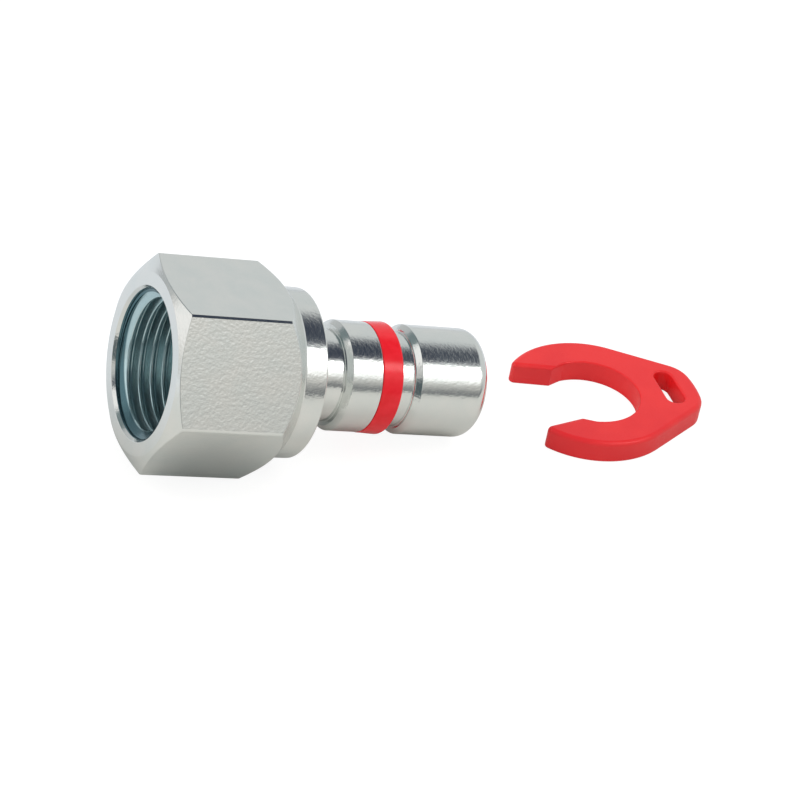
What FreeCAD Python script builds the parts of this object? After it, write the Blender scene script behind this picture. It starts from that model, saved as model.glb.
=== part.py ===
import FreeCAD, Part
import math
import os

# Plug half of a hydraulic quick coupling, lying on a surface as it comes to rest, with the release clip
# that belongs to it laid flat beyond its nose. Lengths are in millimetres and angles in degrees.
# The fitting is drawn along +X, from the mouth of its threaded port at x = 0 to its nose, and is then
# tipped on to the floor. A name that ends in dia is a diameter.

# Hexagon of the bar that the body is turned from
across_flats = 27.0
hex_length = 18.25
mouth_face_dia = 25.8
front_chamfer_angle = 25.0
rear_chamfer_angle = 45.0
hex_root_round = 0.5

# Round collar behind the hexagon
collar_dia = 24.4
collar_length = 4.75
collar_edge_round = 0.3

# Plug stem: neck, rear land, dust ring seat, locking groove and front land. The depths are below the lands.
stem_dia = 16.0
neck_depth = 1.3
neck_length = 5.35
shoulder_chamfer = 0.7
shoulder_edge_round = 0.12
rear_land_length = 4.75
groove_depth = 1.1
groove_length = 2.35
front_land_length = 11.35
nose_round = 2.0

# Threaded port: a G 1/2 parallel thread, whose ridge is left off, so the wall is at its major diameter
thread_major_dia = 20.955
thread_minor_dia = 18.631
countersink_dia = 21.9
thread_depth = 15.0
tap_drill_extra = 2.0
drill_half_angle = 59.0

# Flow bore from the port to the nose
flow_bore_dia = 10.0
nose_bore_chamfer = 0.4

# Dust ring, moulded in rubber and seated behind a low lip
ring_width = 3.2
ring_seat_depth = 1.5
ring_clearance = 0.05
ring_rear_rise = 0.05
ring_front_rise = 0.2
ring_rear_round = 0.12
ring_front_round = 0.35

# Release clip: a jaw that opens towards the fitting, and a tail with a slot
clip_thickness = 3.5
jaw_dia = 15.2
jaw_rim_dia = 26.3
throat_angle = 104.0
mouth_gap = 12.65
mouth_depth = 4.05
mouth_flare_angle = 13.6
tail_reach = 17.45
tail_taper_angle = 33.0
tail_corner_round = 4.5
outer_tip_round = 0.8
slot_length = 8.1
slot_width = 2.9
slot_tail_wall = 3.05
clip_top_round = 0.75
clip_base_round = 0.3
jaw_edge_round = 0.25
slot_edge_round = 0.35

# Where the clip lies: its jaw's centre beyond the nose and to the side, and its turn about the vertical
clip_distance = 21.7
clip_aside = 0.3
clip_turn = -3.8

# How far a cutter runs past what it cuts, and how near an edge lies to the place it is picked by
cutter_overrun = 1.0
pick_distance = 0.1

FITTING_AXIS = FreeCAD.Vector(1, 0, 0)
ACROSS = FreeCAD.Vector(0, 1, 0)
UP = FreeCAD.Vector(0, 0, 1)
ORIGIN = FreeCAD.Vector(0, 0, 0)

collar_end = hex_length + collar_length
neck_end = collar_end + neck_length
rear_land_start = neck_end + shoulder_chamfer
ring_seat_start = rear_land_start + rear_land_length
ring_seat_end = ring_seat_start + ring_width + 2 * ring_clearance
groove_end = ring_seat_end + groove_length
front_land_start = groove_end + shoulder_chamfer
fitting_length = front_land_start + front_land_length


def run_of(rise, angle):
    """Length along the axis of a cone that rises this much, at this angle from the face plane."""
    return rise * math.tan(math.radians(angle))


def corner_arc(before, here, after, radius):
    """Start, middle and end of the arc that rounds the corner between two straight lines."""
    back = (before - here).normalize()
    ahead = (after - here).normalize()
    half_corner = back.getAngle(ahead) / 2
    reach = radius / math.tan(half_corner)
    bisector = (back + ahead).normalize()
    centre = here + bisector * (radius / math.sin(half_corner))
    return here + back * reach, centre - bisector * radius, here + ahead * reach


def straight(start, end):
    """Straight edge. One that slopes out past the flats is a spline, so that its cone cuts no hyperbola."""
    line = Part.LineSegment(start, end)
    slopes = start.x != end.x and start.y != end.y
    if slopes and max(start.y, end.y) > across_flats / 2:
        return line.toBSpline().toShape()
    return line.toShape()


def rounded_wire(corners):
    """Closed wire through corners (x, y, rounding), with a tangent arc at each rounding above zero."""
    points = [FreeCAD.Vector(x, y, 0) for x, y, rounding in corners]
    following_points = points[1:] + points[:1]
    bends = []
    for before, here, after, corner in zip(points[-1:] + points[:-1], points, following_points, corners):
        if corner[2] > 0:
            bends.append(corner_arc(before, here, after, corner[2]))
        else:
            bends.append((here, here, here))
    edges = []
    for bend, following in zip(bends, bends[1:] + bends[:1]):
        start, middle, end = bend
        if start.distanceToPoint(end) > 0:
            edges.append(Part.Arc(start, middle, end).toShape())
        edges.append(straight(end, following[0]))
    return Part.Wire(edges)


def turned(corners):
    """Solid of revolution about the fitting's axis from corners (distance along it, radius, rounding)."""
    return Part.Face(rounded_wire(corners)).revolve(ORIGIN, FITTING_AXIS, 360)


def hex_bar():
    """The hexagonal bar, with a flat facing up and another facing down."""
    corner_radius = across_flats / math.sqrt(3)
    corners = []
    for index in range(6):
        angle = math.radians(60 * index)
        corners.append(FreeCAD.Vector(0, corner_radius * math.cos(angle), corner_radius * math.sin(angle)))
    return Part.Face(Part.makePolygon(corners + corners[:1])).extrude(FITTING_AXIS * fitting_length)


def turned_blank():
    """Everything that the lathe leaves on the outside, the hexagon's corners not yet taken off."""
    mouth_face_radius = mouth_face_dia / 2
    collar_radius = collar_dia / 2
    land_radius = stem_dia / 2
    neck_radius = land_radius - neck_depth
    seat_radius = land_radius - ring_seat_depth
    groove_radius = land_radius - groove_depth
    chamfer_foot = land_radius - shoulder_chamfer
    flat_radius = across_flats / 2
    clear_radius = across_flats / math.sqrt(3) + cutter_overrun
    front_cone_end = run_of(clear_radius - mouth_face_radius, front_chamfer_angle)
    rear_cone_start = hex_length - run_of(clear_radius - flat_radius, rear_chamfer_angle)
    rear_cone_end = hex_length + run_of(flat_radius - collar_radius, rear_chamfer_angle)
    return turned([
        (0, 0, 0),
        (0, mouth_face_radius, 0),
        (front_cone_end, clear_radius, 0),
        (rear_cone_start, clear_radius, 0),
        (rear_cone_end, collar_radius, hex_root_round),
        (collar_end, collar_radius, collar_edge_round),
        (collar_end, neck_radius, shoulder_edge_round),
        (neck_end, neck_radius, shoulder_edge_round),
        (neck_end, chamfer_foot, 0),
        (rear_land_start, land_radius, shoulder_edge_round),
        (ring_seat_start, land_radius, shoulder_edge_round),
        (ring_seat_start, seat_radius, 0),
        (ring_seat_end, seat_radius, 0),
        (ring_seat_end, groove_radius, 0),
        (groove_end, groove_radius, shoulder_edge_round),
        (groove_end, chamfer_foot, 0),
        (front_land_start, land_radius, shoulder_edge_round),
        (fitting_length, land_radius, nose_round),
        (fitting_length, 0, 0),
    ])


def port_and_bore():
    """The cutter for the port, its drill point and the flow bore, open at both ends."""
    major_radius = thread_major_dia / 2
    minor_radius = thread_minor_dia / 2
    countersink_radius = countersink_dia / 2
    bore_radius = flow_bore_dia / 2
    drill_end = thread_depth + tap_drill_extra
    point_length = (minor_radius - bore_radius) / math.tan(math.radians(drill_half_angle))
    return turned([
        (-cutter_overrun, 0, 0),
        (-cutter_overrun, countersink_radius + cutter_overrun, 0),
        (countersink_radius - major_radius, major_radius, 0),
        (thread_depth, major_radius, 0),
        (thread_depth, minor_radius, 0),
        (drill_end, minor_radius, 0),
        (drill_end + point_length, bore_radius, 0),
        (fitting_length - nose_bore_chamfer, bore_radius, 0),
        (fitting_length + cutter_overrun, bore_radius + nose_bore_chamfer + cutter_overrun, 0),
        (fitting_length + cutter_overrun, 0, 0),
    ])


def nipple_body():
    """One piece of hexagonal bar, turned outside and bored right through."""
    return hex_bar().common(turned_blank()).cut(port_and_bore())


def dust_ring():
    """Rubber ring that fills its seat and stands a little proud of the rear land."""
    land_radius = stem_dia / 2
    bore_radius = land_radius - ring_seat_depth + ring_clearance
    rear = ring_seat_start + ring_clearance
    front = rear + ring_width
    return turned([
        (rear, bore_radius, 0),
        (rear, land_radius + ring_rear_rise, ring_rear_round),
        (front, land_radius + ring_front_rise, ring_front_round),
        (front, bore_radius, 0),
    ])


def at_angle(radius, angle):
    """Point on a circle about the jaw's centre; angle 0 points to the tail."""
    return FreeCAD.Vector(radius * math.cos(math.radians(angle)), radius * math.sin(math.radians(angle)), 0)


def flare_meets_rim(inner_tip, rim_radius):
    """Where the flared side of the mouth, drawn outwards from its inner tip, reaches the rim circle."""
    flare = math.radians(mouth_flare_angle)
    outwards = FreeCAD.Vector(-math.cos(flare), math.sin(flare), 0)
    along = inner_tip.dot(outwards)
    reach = math.sqrt(along**2 + rim_radius**2 - inner_tip.dot(inner_tip)) - along
    return inner_tip + outwards * reach


def clip_corners():
    """The clip's corners on its +Y side, from the throat round the arm to the tail."""
    rim_radius = jaw_rim_dia / 2
    throat = at_angle(jaw_dia / 2, throat_angle)
    inner_tip = FreeCAD.Vector(-mouth_depth, mouth_gap / 2, 0)
    outer_tip = flare_meets_rim(inner_tip, rim_radius)
    rim_end = at_angle(rim_radius, 90 - tail_taper_angle)
    tail_turn = math.degrees(math.acos(rim_radius / tail_reach))
    tail_corner = at_angle(tail_reach, 90 - tail_taper_angle - tail_turn)
    return throat, inner_tip, outer_tip, rim_end, tail_corner


def mirrored(point):
    return FreeCAD.Vector(point.x, -point.y, point.z)


def jaw_line():
    """Edges of the jaw itself, from one inner tip of the mouth round to the other."""
    throat, inner_tip, outer_tip, rim_end, tail_corner = clip_corners()
    return [
        Part.LineSegment(inner_tip, throat).toShape(),
        Part.Arc(throat, at_angle(jaw_dia / 2, 0), mirrored(throat)).toShape(),
        Part.LineSegment(mirrored(throat), mirrored(inner_tip)).toShape(),
    ]


def outer_line():
    """The rest of the outline, along both sides of the mouth, the rim and the tail."""
    throat, inner_tip, outer_tip, rim_end, tail_corner = clip_corners()
    rim_middle = at_angle(jaw_rim_dia / 2, 90)
    edges = [Part.Arc(tail_corner, at_angle(tail_reach, 0), mirrored(tail_corner)).toShape()]
    for place in (FreeCAD.Vector, mirrored):
        edges.append(Part.LineSegment(place(inner_tip), place(outer_tip)).toShape())
        edges.append(Part.Arc(place(outer_tip), place(rim_middle), place(rim_end)).toShape())
        edges.append(Part.LineSegment(place(rim_end), place(tail_corner)).toShape())
    return edges


def slot_line():
    """Edges of the slot across the tail, with round ends."""
    half_width = slot_width / 2
    outer = tail_reach - slot_tail_wall
    inner = outer - slot_width
    side = slot_length / 2 - half_width
    ends = [FreeCAD.Vector(inner, side, 0), FreeCAD.Vector(outer, side, 0)]
    top = FreeCAD.Vector(inner + half_width, slot_length / 2, 0)
    edges = []
    for end in ends:
        edges.append(Part.LineSegment(end, mirrored(end)).toShape())
    for place in (FreeCAD.Vector, mirrored):
        edges.append(Part.Arc(place(ends[0]), place(top), place(ends[1])).toShape())
    return edges


def middle_in_plan(edge):
    middle = edge.valueAt((edge.FirstParameter + edge.LastParameter) / 2)
    return FreeCAD.Vector(middle.x, middle.y, 0)


def corner_edges(clip, corner):
    """The clip's upright edges at a corner of its outline and at the mirrored one."""
    found = []
    for edge in clip.Edges:
        place = middle_in_plan(edge)
        offset = min(place.distanceToPoint(corner), place.distanceToPoint(mirrored(corner)))
        if edge.BoundBox.ZLength > clip_thickness / 2 and offset < pick_distance:
            found.append(edge)
    return found


def is_beside(edge, line):
    """Whether an edge lies above or below a line of the plan."""
    return Part.Vertex(middle_in_plan(edge)).distToShape(Part.makeCompound(line))[0] < pick_distance


def level_edges(clip, height):
    """The clip's edges that lie level at this height."""
    found = []
    for edge in clip.Edges:
        extent = edge.BoundBox
        if extent.ZLength < pick_distance and abs(extent.Center.z - height) < pick_distance:
            found.append(edge)
    return found


def rim_edges(clip, height):
    """The level edges at this height, apart from those of the jaw."""
    return [edge for edge in level_edges(clip, height) if not is_beside(edge, jaw_line())]


def both_edges(clip, line):
    """The top and bottom edges along a line of the plan."""
    levels = level_edges(clip, 0) + level_edges(clip, clip_thickness)
    return [edge for edge in levels if is_beside(edge, line)]


def release_clip():
    """Moulded clip, with its jaw's centre at the origin and its tail along +X."""
    throat, inner_tip, outer_tip, rim_end, tail_corner = clip_corners()
    outline = Part.Wire(Part.__sortEdges__(jaw_line() + outer_line()))
    clip = Part.Face(outline).extrude(UP * clip_thickness)
    clip = clip.makeFillet(tail_corner_round, corner_edges(clip, tail_corner))
    clip = clip.makeFillet(outer_tip_round, corner_edges(clip, outer_tip))
    clip = clip.makeFillet(clip_top_round, rim_edges(clip, clip_thickness))
    clip = clip.makeFillet(clip_base_round, rim_edges(clip, 0))
    clip = clip.makeFillet(jaw_edge_round, both_edges(clip, jaw_line()))
    slot = Part.Wire(Part.__sortEdges__(slot_line()))
    clip = clip.cut(Part.Face(slot).extrude(UP * clip_thickness))
    return clip.makeFillet(slot_edge_round, both_edges(clip, slot_line()))


def resting_tilt():
    """Angle at which the fitting lies on its hexagon's rear edge and the round of its nose."""
    back = fitting_length - nose_round - hex_length
    rise = across_flats / 2 - (stem_dia / 2 - nose_round)
    return math.degrees(math.atan2(rise, back) - math.asin(nose_round / math.hypot(back, rise)))


def laid_on_floor(shape):
    """Tips the fitting nose down about its port's mouth and lifts it until it rests on z = 0."""
    tilt = math.radians(resting_tilt())
    lift = hex_length * math.sin(tilt) + across_flats / 2 * math.cos(tilt)
    placed = shape.copy()
    placed.rotate(ORIGIN, ACROSS, math.degrees(tilt))
    placed.translate(UP * lift)
    return placed


def laid_beyond_nose(clip, nose_x):
    """Turns the clip a little and lays it flat beyond the nose."""
    placed = clip.copy()
    placed.rotate(ORIGIN, UP, clip_turn)
    placed.translate(FreeCAD.Vector(nose_x + clip_distance, clip_aside, 0))
    return placed


body = laid_on_floor(nipple_body())
ring = laid_on_floor(dust_ring())
nose_x = fitting_length * math.cos(math.radians(resting_tilt()))
clip = laid_beyond_nose(release_clip(), nose_x)

# The origin is the middle of the underside of the box round all the pieces.
extent = Part.makeCompound([body, ring, clip]).optimalBoundingBox(False, False)
to_origin = FreeCAD.Vector(-extent.Center.x, -extent.Center.y, -extent.ZMin)
pieces = {"nipple_body": body, "dust_ring": ring, "release_clip": clip}

os.makedirs("parts", exist_ok=True)
for node, piece in pieces.items():
    piece.translate(to_origin)
    piece.exportStep(os.path.join("parts", node + ".step"))
    print(node, "valid", piece.isValid(), "solids", len(piece.Solids), "volume", round(piece.Volume, 2))
print("tilt", round(resting_tilt(), 3), "offset to origin", to_origin)
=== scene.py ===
import bpy
import math
from mathutils import Matrix, Vector


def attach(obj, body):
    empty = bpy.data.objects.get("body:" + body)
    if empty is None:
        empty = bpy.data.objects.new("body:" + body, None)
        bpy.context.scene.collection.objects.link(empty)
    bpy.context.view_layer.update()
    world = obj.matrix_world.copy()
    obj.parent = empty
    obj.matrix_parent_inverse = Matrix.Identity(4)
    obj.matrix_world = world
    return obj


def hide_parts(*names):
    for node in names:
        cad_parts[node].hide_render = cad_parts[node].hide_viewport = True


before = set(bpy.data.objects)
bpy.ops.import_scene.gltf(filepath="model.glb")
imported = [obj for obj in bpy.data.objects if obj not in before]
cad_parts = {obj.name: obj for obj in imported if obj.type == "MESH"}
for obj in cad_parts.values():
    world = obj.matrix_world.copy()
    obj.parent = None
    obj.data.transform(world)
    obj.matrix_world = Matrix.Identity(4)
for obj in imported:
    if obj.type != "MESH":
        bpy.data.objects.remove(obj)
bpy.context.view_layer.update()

# Nipple body: one piece of free cutting steel bar, 27 mm across flats, turned and bored on a lathe. The
# hexagon keeps the drawn skin of the bar and everything else is cut, then the whole is zinc plated and
# passivated, which leaves a bright skin with a faint blue green cast and a slight orange peel.
MILLIMETRE = 0.001
MOUTH_CENTRE = (-0.0438274, 0.0, 0.01644426)
RESTING_TILT = math.radians(9.927752)
FLAT_RADIUS = 13.5
CORNER_RADIUS = FLAT_RADIUS / math.cos(math.radians(30))
HEX_CLEAR_RADIUS = 16.6
HEX_LENGTH = 18.25
FITTING_LENGTH = 51.5
MOUTH_FACE_RADIUS = 12.9
COLLAR_RADIUS = 12.2
LAND_RADIUS = 8.0
NECK_RADIUS = 6.7
SEAT_RADIUS = 6.5
GROOVE_RADIUS = 6.9
CHAMFER_FOOT = 7.3
BORE_RADIUS = 5.0
COUNTERSINK_RADIUS = 10.95
COUNTERSINK_DEPTH = 0.6
PORT_RADIUS = 10.5
DRILL_RADIUS = 9.3155
FRONT_CHAMFER = math.tan(math.radians(25))
REAR_CHAMFER = math.tan(math.radians(45))
LATHE_SEGMENTS = 192
ARC_STEPS = 5
LARGE_ARC_STEPS = 14
MERGE_DISTANCE = 0.002
HEX_EDGE_BREAK = 0.24
CHAMFER_EDGE_ROUND = 0.1
PORT_MATERIAL_FROM = 0.5
PORT_MATERIAL_TO = 20
SLACK = 0.01

# Distance from the mouth, radius, and rounding of the corner, once round the section.
BODY_CORNERS = [
    (0, COUNTERSINK_RADIUS, 0.06),
    (0, MOUTH_FACE_RADIUS, 0.2),
    ((HEX_CLEAR_RADIUS - MOUTH_FACE_RADIUS) * FRONT_CHAMFER, HEX_CLEAR_RADIUS, 0),
    (HEX_LENGTH - (HEX_CLEAR_RADIUS - FLAT_RADIUS) * REAR_CHAMFER, HEX_CLEAR_RADIUS, 0),
    (HEX_LENGTH + (FLAT_RADIUS - COLLAR_RADIUS) * REAR_CHAMFER, COLLAR_RADIUS, 0.5),
    (23.0, COLLAR_RADIUS, 0.3),
    (23.0, NECK_RADIUS, 0.12),
    (28.35, NECK_RADIUS, 0.12),
    (28.35, CHAMFER_FOOT, 0),
    (29.05, LAND_RADIUS, 0.12),
    (33.8, LAND_RADIUS, 0.12),
    (33.8, SEAT_RADIUS, 0),
    (37.1, SEAT_RADIUS, 0),
    (37.1, GROOVE_RADIUS, 0),
    (39.45, GROOVE_RADIUS, 0.12),
    (39.45, CHAMFER_FOOT, 0),
    (40.15, LAND_RADIUS, 0.12),
    (FITTING_LENGTH, LAND_RADIUS, 2.0),
    (FITTING_LENGTH, BORE_RADIUS + 0.4, 0.05),
    (FITTING_LENGTH - 0.4, BORE_RADIUS, 0.1),
    (19.59, BORE_RADIUS, 0),
    (17.0, DRILL_RADIUS, 0),
    (15.0, DRILL_RADIUS, 0),
    (15.0, PORT_RADIUS, 0),
    (COUNTERSINK_DEPTH, PORT_RADIUS, 0),
]


def rounded(corners):
    """Points of a closed section, with an arc in place of each corner that has a rounding."""
    points = []
    for before, here, after in zip(corners[-1:] + corners[:-1], corners, corners[1:] + corners[:1]):
        corner, radius = Vector(here[:2]), here[2]
        if radius == 0:
            points.append(corner)
            continue
        back = (Vector(before[:2]) - corner).normalized()
        ahead = (Vector(after[:2]) - corner).normalized()
        half = back.angle(ahead) / 2
        centre = corner + (back + ahead).normalized() * radius / math.sin(half)
        spoke = corner + back * radius / math.tan(half) - centre
        turn = math.copysign(math.pi - 2 * half, back.x * ahead.y - back.y * ahead.x)
        steps = LARGE_ARC_STEPS if radius > 1 else ARC_STEPS
        for step in range(steps + 1):
            points.append(centre + Matrix.Rotation(-turn * step / steps, 2) @ spoke)
    return points


def activate(piece):
    bpy.ops.object.select_all(action="DESELECT")
    piece.select_set(True)
    bpy.context.view_layer.objects.active = piece


def turned(name, section):
    """Lathe work: a ring is extruded along X and resized from each point of the section to the next."""
    bpy.ops.object.select_all(action="DESELECT")
    start, radius = section[0]
    bpy.ops.mesh.primitive_circle_add(
        vertices=LATHE_SEGMENTS, radius=radius, location=(start, 0, 0), rotation=(0, math.pi / 2, 0))
    piece = bpy.context.object
    piece.name = name
    bpy.ops.object.transform_apply()
    bpy.ops.object.mode_set(mode="EDIT")
    bpy.ops.mesh.select_all(action="SELECT")
    for before, after in zip(section, section[1:] + section[:1]):
        grow = after[1] / before[1]
        bpy.ops.mesh.extrude_region_move(TRANSFORM_OT_translate={"value": (after[0] - before[0], 0, 0)})
        bpy.ops.transform.resize(value=(1, grow, grow), center_override=(after[0], 0, 0))
    bpy.ops.mesh.select_all(action="SELECT")
    bpy.ops.mesh.remove_doubles(threshold=MERGE_DISTANCE)
    bpy.ops.mesh.normals_make_consistent(inside=False)
    bpy.ops.object.mode_set(mode="OBJECT")
    return piece


def apply_modifier(piece, kind, **settings):
    modifier = piece.modifiers.new(kind, kind)
    for setting, value in settings.items():
        setattr(modifier, setting, value)
    activate(piece)
    bpy.ops.object.modifier_apply(modifier=modifier.name)


def combine(piece, tool, operation):
    apply_modifier(piece, "BOOLEAN", operation=operation, solver="EXACT", object=tool)
    bpy.data.objects.remove(tool)


def soften(piece, widths, widest, segments):
    """Rounds the edges that widths gives a width for, then lets the large faces keep their own normals."""
    weights = piece.data.attributes.new("bevel_weight_edge", "FLOAT", "EDGE")
    for edge, width in widths.items():
        weights.data[edge].value = width / widest
    apply_modifier(piece, "BEVEL", limit_method="WEIGHT", width=widest, segments=segments,
                   use_clamp_overlap=False, offset_type="OFFSET")
    activate(piece)
    bpy.ops.object.shade_smooth_by_angle(angle=math.radians(25))
    apply_modifier(piece, "WEIGHTED_NORMAL", keep_sharp=True, weight=50)


def lay_down(piece):
    """Brings a piece of the fitting from millimetres along X to where it rests, tipped on to its nose."""
    piece.scale = (MILLIMETRE,) * 3
    piece.rotation_euler = (0, RESTING_TILT, 0)
    piece.location = MOUTH_CENTRE
    activate(piece)
    bpy.ops.object.transform_apply()


body = turned("nipple", rounded(BODY_CORNERS))
bpy.ops.object.select_all(action="DESELECT")
bpy.ops.mesh.primitive_cylinder_add(
    vertices=6, radius=CORNER_RADIUS, depth=4 * FITTING_LENGTH, rotation=(0, math.pi / 2, 0))
bar = bpy.context.object
bpy.ops.object.transform_apply()
apply_modifier(bar, "BEVEL", width=HEX_EDGE_BREAK, segments=1)
combine(body, bar, "INTERSECT")

flats, port = set(), set()
for face in body.data.polygons:
    radial = Vector((0, face.center.y, face.center.z))
    in_port = PORT_MATERIAL_FROM < face.center.x < PORT_MATERIAL_TO and radial.length < COUNTERSINK_RADIUS
    if abs(face.normal.x) < SLACK and face.normal.dot(face.center) > FLAT_RADIUS - SLACK:
        flats.add(face.index)
    elif in_port and face.normal.dot(radial) < 0:
        port.add(face.index)

# The arcs where the chamfers run out on the flats get a slight round.
neighbours = {}
for face in body.data.polygons:
    for key in face.edge_keys:
        neighbours.setdefault(key, []).append(face)
chamfer_edges = {}
for edge in body.data.edges:
    pair = neighbours[edge.key]
    if len(pair) == 2 and (pair[0].index in flats) != (pair[1].index in flats):
        chamfer_edges[edge.index] = CHAMFER_EDGE_ROUND
for face in body.data.polygons:
    face.material_index = 1 if face.index in flats else 2 if face.index in port else 0
soften(body, chamfer_edges, CHAMFER_EDGE_ROUND, 3)
lay_down(body)
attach(body, "root")
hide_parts("nipple_body")


class Signal:
    """A socket of a node tree, so that shader maths reads as Python. node() adds any other node."""

    def __init__(self, tree, socket=None):
        self.tree = tree
        self.socket = socket

    def node(self, kind, settings=None, inputs=None, output=0):
        made = self.tree.nodes.new(kind)
        for name, value in (settings or {}).items():
            setattr(made, name, value)
        for name, value in (inputs or {}).items():
            if isinstance(value, Signal):
                self.tree.links.new(value.socket, made.inputs[name])
            else:
                made.inputs[name].default_value = value
        return Signal(self.tree, made.outputs[output])

    def maths(self, operation, *values):
        return self.node("ShaderNodeMath", {"operation": operation}, dict(enumerate(values)))

    def __add__(self, other):
        return self.maths("ADD", self, other)

    def __radd__(self, other):
        return self.maths("ADD", other, self)

    def __sub__(self, other):
        return self.maths("SUBTRACT", self, other)

    def __rsub__(self, other):
        return self.maths("SUBTRACT", other, self)

    def __mul__(self, other):
        return self.maths("MULTIPLY", self, other)

    def __rmul__(self, other):
        return self.maths("MULTIPLY", other, self)

    def ramp(self, start, end, low=0.0, high=1.0):
        """Smooth step from low to high as the signal goes from start to end."""
        return self.node("ShaderNodeMapRange", {"interpolation_type": "SMOOTHSTEP"},
                         {0: self, 1: start, 2: end, 3: low, 4: high})

    def blend(self, low, high):
        """Colour that goes from low to high as the signal goes from 0 to 1."""
        return self.node("ShaderNodeMix", {"data_type": "RGBA"}, {0: self, 6: low, 7: high}, 2)

    def parts(self):
        split = self.node("ShaderNodeSeparateXYZ", None, {0: self}).socket.node
        return [Signal(self.tree, socket) for socket in split.outputs]


def new_material(name):
    """A new material, with a signal of its tree and its Principled shader, which is all that is in it."""
    material = bpy.data.materials.new(name)
    material.use_nodes = True
    shader = material.node_tree.nodes["Principled BSDF"]
    return material, Signal(material.node_tree), shader


def colour(red, green, blue):
    """Linear colour from one given as it looks on a screen, 0 to 255."""
    return tuple((value / 255) ** 2.2 for value in (red, green, blue)) + (1.0,)


def along_fitting(tree):
    """Object coordinates in millimetres, X from the mouth to the nose."""
    place = tree.node("ShaderNodeTexCoord", None, None, 3)
    return tree.node("ShaderNodeMapping", {"vector_type": "TEXTURE"},
                     {0: place, 1: MOUTH_CENTRE, 2: (0, RESTING_TILT, 0), 3: (MILLIMETRE,) * 3})


def noise(tree, place, scale, detail, roughness=0.5, distortion=0.0):
    return tree.node("ShaderNodeTexNoise", None,
                     {"Vector": place, "Scale": scale, "Detail": detail, "Roughness": roughness,
                      "Distortion": distortion})


def link(tree, signal, shader, name):
    tree.tree.links.new(signal.socket, shader.inputs[name])


MICROMETRE = 1e-6
CLOUD_COLOUR = 0.4
# Painted shade on the port: up to here from the mouth, with a soft border, it takes a dark colour for the
# shadowed groove behind the countersink.
GROOVE_SHADE_END = 1.49
GROOVE_SHADE_BORDER = 0.07


def bumped(tree, shader, height):
    """Height, in metres, as a relief on the surface."""
    bump = tree.node("ShaderNodeBump", None, {"Strength": 1.0, "Distance": 1.0, "Height": height})
    link(tree, bump, shader, "Normal")


def plated_steel(name, bright, deep, metallic, roughness, heights, grain_share, groove_shade=None):
    """Zinc plate between two colours. The heights are those of the turning lines, the orange peel and the
    grain, in micrometres. grain_share of the colour follows the grain. The last argument is a painted shade:
    a dark colour laid on the port from the mouth to 1.49 mm in, for the shadowed groove behind the
    countersink."""
    material, tree, shader = new_material(name)
    shader.inputs["Metallic"].default_value = metallic
    place = along_fitting(tree)
    run = place.parts()[0]
    lines = tree.node("ShaderNodeTexNoise", {"noise_dimensions": "1D"},
                      {"W": run, "Scale": 7.0, "Detail": 3.0, "Roughness": 0.7})
    peel = noise(tree, place, 2.0, 3.0, 0.55)
    grain = noise(tree, place, 2.7, 5.0, 0.8, 0.3)
    cloud = noise(tree, place, 0.22, 2.0)
    speck = grain.ramp(0.41, 0.59) * grain_share + cloud.ramp(0.3, 0.7) * ((1 - grain_share) * CLOUD_COLOUR)
    tone = speck.blend(bright, deep)
    # Painted shade: the port's colour turns dark up to 1.49 mm from the mouth, for the shadowed groove
    # behind the countersink.
    if groove_shade:
        tone = run.ramp(GROOVE_SHADE_END - GROOVE_SHADE_BORDER, GROOVE_SHADE_END + GROOVE_SHADE_BORDER).blend(groove_shade, tone)
    link(tree, tone, shader, "Base Color")
    link(tree, cloud.ramp(0.25, 0.75, roughness * 0.85, roughness * 1.2), shader, "Roughness")
    line_height, peel_height, grain_height = (height * MICROMETRE for height in heights)
    bumped(tree, shader, lines * line_height + peel * peel_height + grain * grain_height)
    return material


BRIGHT_ZINC = colour(232, 233, 230)
COOL_ZINC = colour(216, 224, 223)
PALE_GRAIN = colour(252, 251, 247)
DARK_GRAIN = colour(172, 172, 166)
# The port's zinc plate, with a darker, bluer tint painted in for the shade inside the port.
SHADED_PORT_ZINC = colour(190, 214, 218)
DEEP_SHADED_PORT_ZINC = colour(165, 194, 200)
# Painted shade: a dark teal for the shadowed groove at the mouth of the port.
PAINTED_GROOVE_SHADE = colour(84, 114, 122)
body.data.materials.clear()
for material in (
        plated_steel("zinc_on_turned_steel", BRIGHT_ZINC, COOL_ZINC, 1.0, 0.13, (3, 22, 5), 0.15),
        plated_steel("zinc_on_drawn_flats", PALE_GRAIN, DARK_GRAIN, 1.0, 0.22, (0, 3, 60), 1.0),
        plated_steel("zinc_in_port_painted_shade", SHADED_PORT_ZINC, DEEP_SHADED_PORT_ZINC, 0.9, 0.2, (1, 3, 0.4), 0.3, PAINTED_GROOVE_SHADE)):
    body.data.materials.append(material)

# Port thread: a G 1/2 parallel pipe thread, 14 turns to the inch and 55 degrees, tapped into the port and
# plated with the body. This is the ridge that the tap leaves standing, with its crest and roots rounded and
# its first turn cut back to a lead behind the countersink.
PITCH = 1.814
THREAD_ROUND = 0.1373 * PITCH
FLANK_END = math.radians(90 - 27.5)
CREST_RADIUS = DRILL_RADIUS
ROOT_RADIUS = 10.4775
THREAD_START = -1.1
THREAD_TURNS = 9
STEPS_PER_TURN = 96
GAP_BETWEEN_TURNS = 0.002
LEAD_CUTTER = [(-4.0, 0.5), (-4.0, 13.95), (COUNTERSINK_DEPTH, 10.48),
               (0.85, 10.46), (1.5, 9.4), (1.9, 9.2), (1.9, 0.5)]
ROOT_SUNK = 0.12


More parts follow.
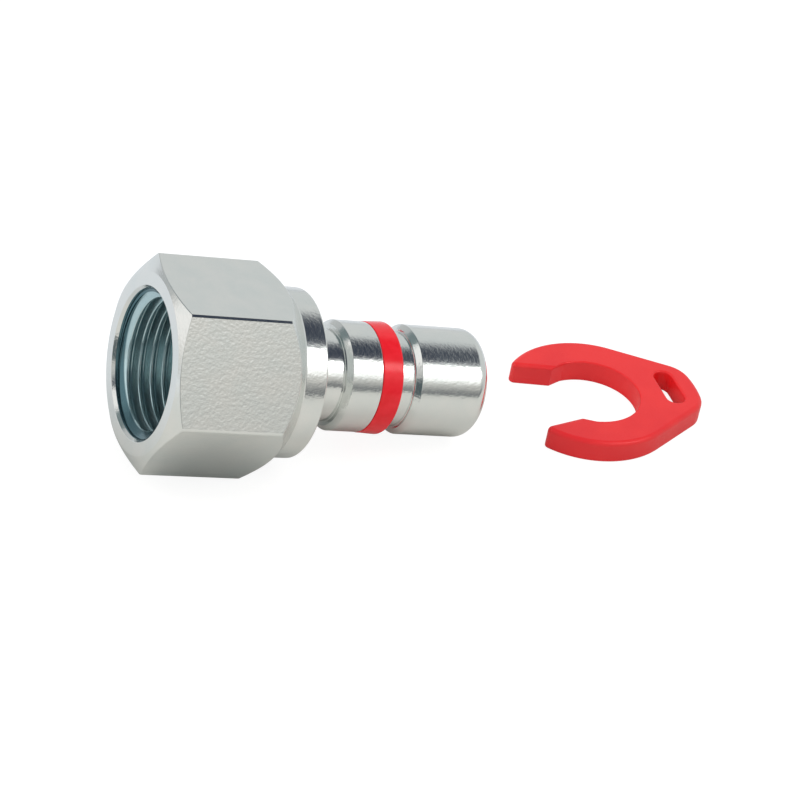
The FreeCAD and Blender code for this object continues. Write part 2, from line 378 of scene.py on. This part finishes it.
def thread_section():
    """Once along the thread, from one root over the crest to the next, as steps along X and radii."""
    points = []
    for step in range(ARC_STEPS + 1):
        angle = FLANK_END * step / ARC_STEPS
        points.append((-PITCH / 2 + THREAD_ROUND * math.sin(angle),
                       ROOT_RADIUS - THREAD_ROUND * (1 - math.cos(angle))))
    for step in range(-ARC_STEPS, ARC_STEPS + 1):
        angle = FLANK_END * step / ARC_STEPS
        points.append((THREAD_ROUND * math.sin(angle), CREST_RADIUS + THREAD_ROUND * (1 - math.cos(angle))))
    for step in range(ARC_STEPS, -1, -1):
        angle = FLANK_END * step / ARC_STEPS
        points.append((PITCH / 2 - THREAD_ROUND * math.sin(angle),
                       ROOT_RADIUS - THREAD_ROUND * (1 - math.cos(angle))))
    return points + [(PITCH / 2, ROOT_RADIUS + ROOT_SUNK), (-PITCH / 2, ROOT_RADIUS + ROOT_SUNK)]


def pen_down(name, x, y, z):
    """Starts a line: a small plane is merged to the one vertex that the next steps extrude."""
    bpy.ops.object.select_all(action="DESELECT")
    bpy.ops.mesh.primitive_plane_add(size=0.1, location=(x, y, z))
    piece = bpy.context.object
    piece.name = name
    bpy.ops.object.transform_apply()
    bpy.ops.object.mode_set(mode="EDIT")
    bpy.ops.mesh.select_all(action="SELECT")
    bpy.ops.mesh.merge(type="CENTER")
    return piece


def pen_move(x, y, z):
    bpy.ops.mesh.extrude_region_move(TRANSFORM_OT_translate={"value": (x, y, z)})


section = [(x * (1 - GAP_BETWEEN_TURNS), radius) for x, radius in thread_section()]
thread = pen_down("port_thread", section[0][0] + THREAD_START, 0, section[0][1])
for before, after in zip(section, section[1:] + section[:1]):
    pen_move(after[0] - before[0], 0, after[1] - before[1])
bpy.ops.mesh.select_all(action="SELECT")
bpy.ops.mesh.remove_doubles(threshold=MERGE_DISTANCE)
bpy.ops.object.mode_set(mode="OBJECT")
apply_modifier(thread, "SCREW", axis="X", angle=math.tau, screw_offset=PITCH, iterations=THREAD_TURNS,
               steps=STEPS_PER_TURN, render_steps=STEPS_PER_TURN)
bpy.ops.object.mode_set(mode="EDIT")
bpy.ops.mesh.select_all(action="SELECT")
bpy.ops.mesh.remove_doubles(threshold=MERGE_DISTANCE / 4)
bpy.ops.mesh.fill_holes(sides=0)
bpy.ops.mesh.select_all(action="SELECT")
bpy.ops.mesh.normals_make_consistent(inside=False)
bpy.ops.object.mode_set(mode="OBJECT")
bpy.ops.object.select_all(action="DESELECT")
cutter = turned("lead_cutter", [Vector(point) for point in LEAD_CUTTER])
combine(thread, cutter, "DIFFERENCE")
activate(thread)
bpy.ops.object.shade_smooth_by_angle(angle=math.radians(35))
lay_down(thread)
# The thread takes the port's zinc, with its painted shade.
thread.data.materials.clear()
thread.data.materials.append(body.data.materials[2])
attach(thread, "root")

# Dust ring: a band of red nitrile rubber, moulded as an endless ring and stretched over the stem into its
# seat. Its front edge stands a little proud and is rounder than the back one.
RING_BACK = 33.85
RING_FRONT = 37.05
RING_BORE = 6.55
RING_BACK_RADIUS = 8.05
RING_FRONT_RADIUS = 8.2
ring = turned("dust_seal", rounded([
    (RING_BACK, RING_BORE, 0.05),
    (RING_BACK, RING_BACK_RADIUS, 0.12),
    (RING_FRONT, RING_FRONT_RADIUS, 0.35),
    (RING_FRONT, RING_BORE, 0.05),
]))
activate(ring)
bpy.ops.object.shade_smooth_by_angle(angle=math.radians(35))
apply_modifier(ring, "WEIGHTED_NORMAL", keep_sharp=True, weight=50)
lay_down(ring)
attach(ring, "root")
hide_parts("dust_ring")

material, tree, shader = new_material("red_nitrile_rubber")
place = along_fitting(tree)
skin = noise(tree, place, 4.0, 3.0, 0.6)
cloud = noise(tree, place, 0.5, 2.0)
link(tree, cloud.ramp(0.3, 0.7).blend(colour(250, 42, 54), colour(242, 32, 44)), shader, "Base Color")
shader.inputs["Specular IOR Level"].default_value = 0.35
link(tree, skin.ramp(0.3, 0.7, 0.15, 0.21), shader, "Roughness")
bumped(tree, shader, skin * (3 * MICROMETRE))
ring.data.materials.clear()
ring.data.materials.append(material)

# Release clip: a red acetal moulding, 3.5 mm thick, that snaps over the stem by its open jaw. The tail
# narrows to a curved end with a slot for a tether. All of its outer edges are well rounded.
CLIP_THICKNESS = 3.5
JAW_RADIUS = 7.6
RIM_RADIUS = 13.15
TAIL_REACH = 17.45
THROAT_ANGLE = math.radians(104)
INNER_TIP = Vector((-4.05, 6.325))
FLARE = math.radians(13.6)
TAPER = math.radians(33)
OUTER_TIP_ROUND = 0.8
TAIL_CORNER_ROUND = 4.5
SLOT_MIDDLE = 12.95
SLOT_HALF_WIDTH = 1.45
SLOT_HALF_LENGTH = 4.05
TOP_ROUND = 0.75
BASE_ROUND = 0.3
JAW_EDGE_ROUND = 0.25
SLOT_EDGE_ROUND = 0.35
JAW_CENTRE = (0.0286014, 0.0003, 0)
CLIP_TURN = math.radians(-3.8)


def pen_arc(centre, angle, steps):
    """Draws an arc about a point of the XY plane, anticlockwise for a positive angle."""
    bpy.ops.mesh.spin(steps=steps, angle=-angle, center=(centre.x, centre.y, 0), axis=(0, 0, 1))


def polar(radius, angle):
    return Vector((radius * math.cos(angle), radius * math.sin(angle)))


def angle_of(point):
    return math.atan2(point.y, point.x)


# The flared side of the mouth runs on to the rim, and the tapered side of the tail to the tail's arc. An
# arc that rounds such a corner has its centre at its own radius from the straight side and from the arc.
flare_along = Vector((-math.cos(FLARE), math.sin(FLARE)))
flare_inward = Vector((math.sin(FLARE), math.cos(FLARE)))
tip_base = INNER_TIP + flare_inward * OUTER_TIP_ROUND
tip_along = tip_base.dot(flare_along)
tip_offset = RIM_RADIUS - OUTER_TIP_ROUND
tip_reach = math.sqrt(tip_along**2 + tip_offset**2 - tip_base.length_squared) - tip_along
tip_centre = tip_base + flare_along * tip_reach
taper_outward = polar(1, math.pi / 2 - TAPER)
taper_along = Vector((taper_outward.y, -taper_outward.x))
tail_offset = RIM_RADIUS - TAIL_CORNER_ROUND
tail_run = math.sqrt((TAIL_REACH - TAIL_CORNER_ROUND) ** 2 - tail_offset**2)
tail_centre = taper_outward * tail_offset + taper_along * tail_run

clip = pen_down("clip", JAW_RADIUS, 0, 0)
pen_arc(Vector((0, 0)), THROAT_ANGLE, 48)
throat = polar(JAW_RADIUS, THROAT_ANGLE)
step = INNER_TIP - throat
pen_move(step.x, step.y, 0)
step = flare_along * tip_reach
pen_move(step.x, step.y, 0)
tip_turn = angle_of(tip_centre) - angle_of(-flare_inward)
pen_arc(tip_centre, (tip_turn + math.pi) % math.tau - math.pi, 10)
pen_arc(Vector((0, 0)), math.pi / 2 - TAPER - angle_of(tip_centre), 44)
step = taper_along * tail_run
pen_move(step.x, step.y, 0)
pen_arc(tail_centre, angle_of(tail_centre) - angle_of(taper_outward), 12)
pen_arc(Vector((0, 0)), -angle_of(tail_centre), 12)
bpy.ops.mesh.select_all(action="SELECT")
bpy.ops.mesh.duplicate()
bpy.ops.transform.resize(value=(1, -1, 1), center_override=(0, 0, 0))
bpy.ops.mesh.select_all(action="SELECT")
bpy.ops.mesh.remove_doubles(threshold=MERGE_DISTANCE)
bpy.ops.mesh.edge_face_add()
bpy.ops.mesh.extrude_region_move(TRANSFORM_OT_translate={"value": (0, 0, CLIP_THICKNESS)})
bpy.ops.mesh.select_all(action="SELECT")
bpy.ops.mesh.normals_make_consistent(inside=False)
bpy.ops.object.mode_set(mode="OBJECT")

bpy.ops.object.select_all(action="DESELECT")
bpy.ops.mesh.primitive_cylinder_add(
    vertices=96, radius=SLOT_HALF_WIDTH, depth=3 * CLIP_THICKNESS, rotation=(0, 0, math.pi / 96))
slot = bpy.context.object
bpy.ops.object.transform_apply()
bpy.ops.object.mode_set(mode="EDIT")
for side in (1, -1):
    bpy.ops.mesh.select_all(action="DESELECT")
    bpy.ops.object.mode_set(mode="OBJECT")
    for vertex in slot.data.vertices:
        vertex.select = vertex.co.y * side > 0
    bpy.ops.object.mode_set(mode="EDIT")
    bpy.ops.transform.translate(value=(0, side * (SLOT_HALF_LENGTH - SLOT_HALF_WIDTH), 0))
bpy.ops.mesh.select_all(action="SELECT")
bpy.ops.transform.translate(value=(SLOT_MIDDLE, 0, 0))
bpy.ops.object.mode_set(mode="OBJECT")
combine(clip, slot, "DIFFERENCE")

rim_edges = {}
for edge in clip.data.edges:
    first, second = (clip.data.vertices[index].co for index in edge.vertices)
    middle = (first + second) / 2
    if abs(first.z - second.z) > 0.1:
        continue
    spoke = Vector((middle.x, middle.y)).length
    if abs(middle.x - SLOT_MIDDLE) < SLOT_HALF_WIDTH + 0.05 and abs(middle.y) < SLOT_HALF_LENGTH + 0.05:
        rim_edges[edge.index] = SLOT_EDGE_ROUND
    elif spoke < JAW_RADIUS + 0.02:
        rim_edges[edge.index] = JAW_EDGE_ROUND
    else:
        rim_edges[edge.index] = TOP_ROUND if middle.z > CLIP_THICKNESS / 2 else BASE_ROUND
level_faces = {}
for face in clip.data.polygons:
    for key in face.edge_keys:
        level_faces[key] = level_faces.get(key, 0) + (abs(face.normal.z) > 0.9)
for edge in clip.data.edges:
    if level_faces[edge.key] != 1:
        rim_edges.pop(edge.index, None)
soften(clip, rim_edges, TOP_ROUND, 6)
clip.scale = (MILLIMETRE,) * 3
clip.rotation_euler = (0, 0, CLIP_TURN)
clip.location = JAW_CENTRE
activate(clip)
bpy.ops.object.transform_apply()
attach(clip, "root")
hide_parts("release_clip")

material, tree, shader = new_material("red_acetal")
place = tree.node("ShaderNodeTexCoord", None, None, 3)
mould = noise(tree, place, 2600.0, 3.0, 0.6)
flow = noise(tree, place, 130.0, 2.0)
link(tree, flow.ramp(0.3, 0.7).blend(colour(244, 46, 48), colour(236, 38, 44)), shader, "Base Color")
link(tree, mould.ramp(0.3, 0.7, 0.3, 0.42), shader, "Roughness")
bumped(tree, shader, mould * (2 * MICROMETRE) + flow * (20 * MICROMETRE))
clip.data.materials.clear()
clip.data.materials.append(material)

# Stage: a white sweep under two soft lamps, and the camera of the photograph. For the camera alone, the
# world is white and the floor is lifted to near white, which leaves it a faint shadow. Under the hexagon the
# floor has a painted shadow, a greyer patch that the lower flats mirror.
FLOOR_PAINTED_SHADOW = colour(194, 196, 194)
FLOOR_IN_FRONT = colour(226, 224, 218)
FLOOR_BEHIND = colour(230, 233, 236)
HEXAGON_X = -0.034
WHITE_SHARE = 0.72
WHITE_GLOW = 1.25
WHITE = (1, 1, 1, 1)
ROOM_LIGHT = (0.62, 0.63, 0.64, 1)
bpy.ops.object.select_all(action="DESELECT")
bpy.ops.mesh.primitive_plane_add(size=8)
floor = bpy.context.object
floor.name = "floor"
material, tree, shader = new_material("white_sweep")
shader.inputs["Roughness"].default_value = 1.0
shader.inputs["Specular IOR Level"].default_value = 0.0
x, y = tree.node("ShaderNodeTexCoord", None, None, 3).parts()[:2]
along = x - HEXAGON_X
from_hexagon = tree.maths("SQRT", along * along * 0.86 + y * y)
paper = y.ramp(-0.01, 0.03).blend(FLOOR_IN_FRONT, FLOOR_BEHIND)
# Painted shadow: the floor's colour is greyer close under the hexagon, where the lower flats mirror it.
link(tree, from_hexagon.ramp(0.007, 0.0165).blend(FLOOR_PAINTED_SHADOW, paper), shader, "Base Color")
seen = tree.node("ShaderNodeLightPath")
lit = Signal(tree.tree, shader.outputs[0])
white = tree.node("ShaderNodeEmission", None, {"Color": WHITE, "Strength": WHITE_GLOW})
sweep = tree.node("ShaderNodeMixShader", None, {0: seen * WHITE_SHARE, 1: lit, 2: white})
link(tree, sweep, tree.tree.nodes["Material Output"], "Surface")
floor.data.materials.append(material)

world = bpy.data.worlds.new("studio")
bpy.context.scene.world = world
world.use_nodes = True
tree = Signal(world.node_tree)
x, y, z = tree.node("ShaderNodeTexCoord").parts()
bearing = tree.maths("ARCTAN2", 0 - y, 0 - x) * math.degrees(1)


def between(signal, low, high, soft):
    """1 from low to high and 0 outside them, with soft as the width of each border."""
    return signal.ramp(low - soft, low) * (1 - signal.ramp(high, high + soft))


# The room that polished metal mirrors, by direction: X is to the right, Y away from the camera, Z up,
# and the bearing is in degrees from the left to the front. Each part stands in front of the ones before it.
side_walls = x.ramp(-0.5, 0.5).blend((0.50, 0.52, 0.53, 1), (0.69, 0.71, 0.71, 1))
front_wall = z.ramp(0.0, 0.35).blend((0.16, 0.17, 0.18, 1), (0.64, 0.63, 0.60, 1))
in_front = (0 - y).ramp(0.25, 0.75)
far_left = (0 - x).ramp(0.6, 0.95)
ceiling = z.ramp(0.62, 0.79)
curtain = between(bearing, -68, -40, 7) * z.ramp(0.40, 0.52)
doorway = between(bearing, 14, 40, 10) * (1 - z.ramp(0.39, 0.50))
box_right = x.ramp(0.0, 0.1) * between(0 - y, 0.47, 0.69, 0.27) * z.ramp(0.30, 0.46)
lamp_right = x.ramp(0.2, 0.4) * between(0 - y, 0.43, 0.56, 0.08) * z.ramp(0.45, 0.60)
box_left = between(bearing, -34, 6, 10) * between(z, 0.14, 0.86, 0.07)
room = side_walls
for where, tint in (
        (in_front, front_wall),
        (far_left, (0.78, 0.76, 0.73, 1)),
        (ceiling, (0.045, 0.055, 0.08, 1)),
        (curtain, (0.20, 0.25, 0.26, 1)),
        (doorway, (0.09, 0.12, 0.13, 1)),
        (box_right, (1.35, 1.35, 1.33, 1)),
        (lamp_right, (5.0, 5.0, 5.0, 1)),
        (box_left, (1.02, 1.01, 1.0, 1))):
    room = where.blend(room, tint)
ray = tree.node("ShaderNodeLightPath").socket.node
seen = Signal(tree.tree, ray.outputs["Is Camera Ray"])
glossy = Signal(tree.tree, ray.outputs["Is Glossy Ray"])
sky = seen.blend(glossy.blend(ROOM_LIGHT, room), WHITE)
link(tree, sky, tree.tree.nodes["Background"], "Color")


def softbox(name, place, size, watts):
    """Square lamp that looks at the middle of the object and doesn't show in reflections."""
    lamp = bpy.data.lights.new(name, "AREA")
    lamp.size = size
    lamp.energy = watts
    made = bpy.data.objects.new(name, lamp)
    made.location = place
    made.rotation_euler = (Vector((0, 0, 0.01)) - Vector(place)).to_track_quat("-Z", "Y").to_euler()
    made.visible_glossy = False
    bpy.context.scene.collection.objects.link(made)


softbox("overhead_box", (0.2, -0.12, 0.6), 0.45, 1.15)
softbox("left_box", (-0.5, 0.15, 0.35), 0.35, 1.1)

# The lens looks down at about 35 degrees and is rolled by 11, as the photograph was taken.
CAMERA_PLACE = (-0.155682, -0.297788, 0.238227)
LOOK_RIGHT = Vector((0.92285417, -0.35386055, 0.15206211))
LOOK_UP = Vector((0.09088346, 0.58373813, 0.80683951))
LOOK_BACK = Vector((-0.37427312, -0.73077528, 0.57086524))
FOCAL_LENGTH = 125.37
SENSOR_WIDTH = 36.0
lens = bpy.data.cameras.new("camera")
lens.lens = FOCAL_LENGTH
lens.sensor_width = SENSOR_WIDTH
camera = bpy.data.objects.new("camera", lens)
turn = Matrix((LOOK_RIGHT, LOOK_UP, LOOK_BACK)).transposed().to_4x4()
camera.matrix_world = Matrix.Translation(CAMERA_PLACE) @ turn
bpy.context.scene.collection.objects.link(camera)
bpy.context.scene.camera = camera
bpy.context.scene.view_settings.view_transform = "Standard"
